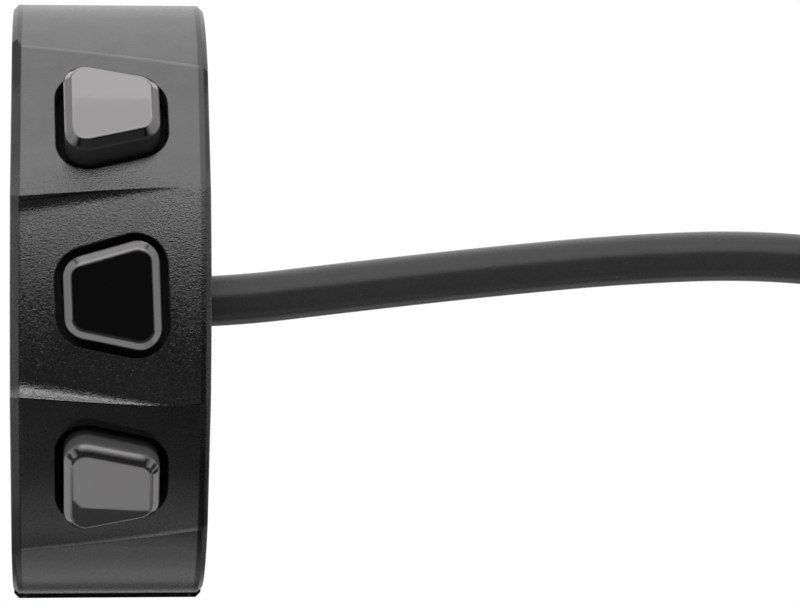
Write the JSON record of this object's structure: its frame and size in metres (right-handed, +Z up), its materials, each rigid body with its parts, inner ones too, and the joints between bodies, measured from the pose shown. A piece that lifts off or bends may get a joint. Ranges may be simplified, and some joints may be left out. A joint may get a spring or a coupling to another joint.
{
  "type": "handlebar switch",
  "caption": "Slim split clamp ring for a motorbike handlebar with trapezoid push buttons on its face and a round cable leaving one side.",
  "frame": {"origin": "centre of the bore that clamps the handlebar, half way along its length", "axes": "X along the bar, towards the cable; -Y the way the middle button faces; +Z up"},
  "size_m": [0.0755, 0.0409, 0.0948],
  "materials": {
    "anodised": "black anodised aluminium, bead-blasted satin",
    "cap_metal": "polished black chrome",
    "seal_rubber": "soft silicone",
    "plunger_plastic": "natural acetal",
    "dome_steel": "thin spring sheet",
    "switch_plastic": "black moulded nylon",
    "board": "green solder resist",
    "cover_metal": "black anodised sheet",
    "gasket_rubber": "thin foam rubber",
    "screw_steel": "blackened steel",
    "small_screw": "stainless steel",
    "bush_rubber": "black rubber",
    "crimp_metal": "tinned brass",
    "wire_insulation": "coloured insulation",
    "cable_jacket": "black flexible jacket",
    "tie_nylon": "black nylon",
    "sleeve": "black shrunk sleeve",
    "lead_insulation": "coloured insulation",
    "tinned": "tinned copper"
  },
  "bodies": {
    "root": {"front_housing": "anodised", "rear_clamp": "anodised", "clamp_screws": "screw_steel", "circuit_board": "board", "inner_cover": "cover_metal", "cover_gasket": "gasket_rubber", "cover_screws": "small_screw", "cable_bush": "bush_rubber", "cable_crimp": "crimp_metal", "inner_wires": "wire_insulation", "cable": "cable_jacket", "cable_coil": "cable_jacket", "coil_tie": "tie_nylon", "cable_end_sleeve": "sleeve", "wire_leads": "lead_insulation", "wire_tips": "tinned", "upper_button_seal": "seal_rubber", "upper_snap_dome": "dome_steel", "upper_switch_base": "switch_plastic", "middle_button_seal": "seal_rubber", "middle_snap_dome": "dome_steel", "middle_switch_base": "switch_plastic", "lower_button_seal": "seal_rubber", "lower_snap_dome": "dome_steel", "lower_switch_base": "switch_plastic"},
    "upper_button": {"upper_button_cap": "cap_metal", "upper_plunger": "plunger_plastic"},
    "middle_button": {"middle_button_cap": "cap_metal", "middle_plunger": "plunger_plastic"},
    "lower_button": {"lower_button_cap": "cap_metal", "lower_plunger": "plunger_plastic"}
  },
  "joints": [
    {"name": "upper_button_press", "type": "slide", "parent": "root", "child": "upper_button", "axis": [0, 0.8028, -0.5962], "range_m": [0, 0.0005], "stiffness_N_per_m": 2500, "springref_m": -0.0002, "deforming": ["upper_snap_dome"]},
    {"name": "middle_button_press", "type": "slide", "parent": "root", "child": "middle_button", "axis": [0, 1, 0], "range_m": [0, 0.0005], "stiffness_N_per_m": 2500, "springref_m": -0.0002, "deforming": ["middle_snap_dome"]},
    {"name": "lower_button_press", "type": "slide", "parent": "root", "child": "lower_button", "axis": [0, 0.8028, 0.5962], "range_m": [0, 0.0005], "stiffness_N_per_m": 2500, "springref_m": -0.0002, "deforming": ["lower_snap_dome"]}
  ]
}
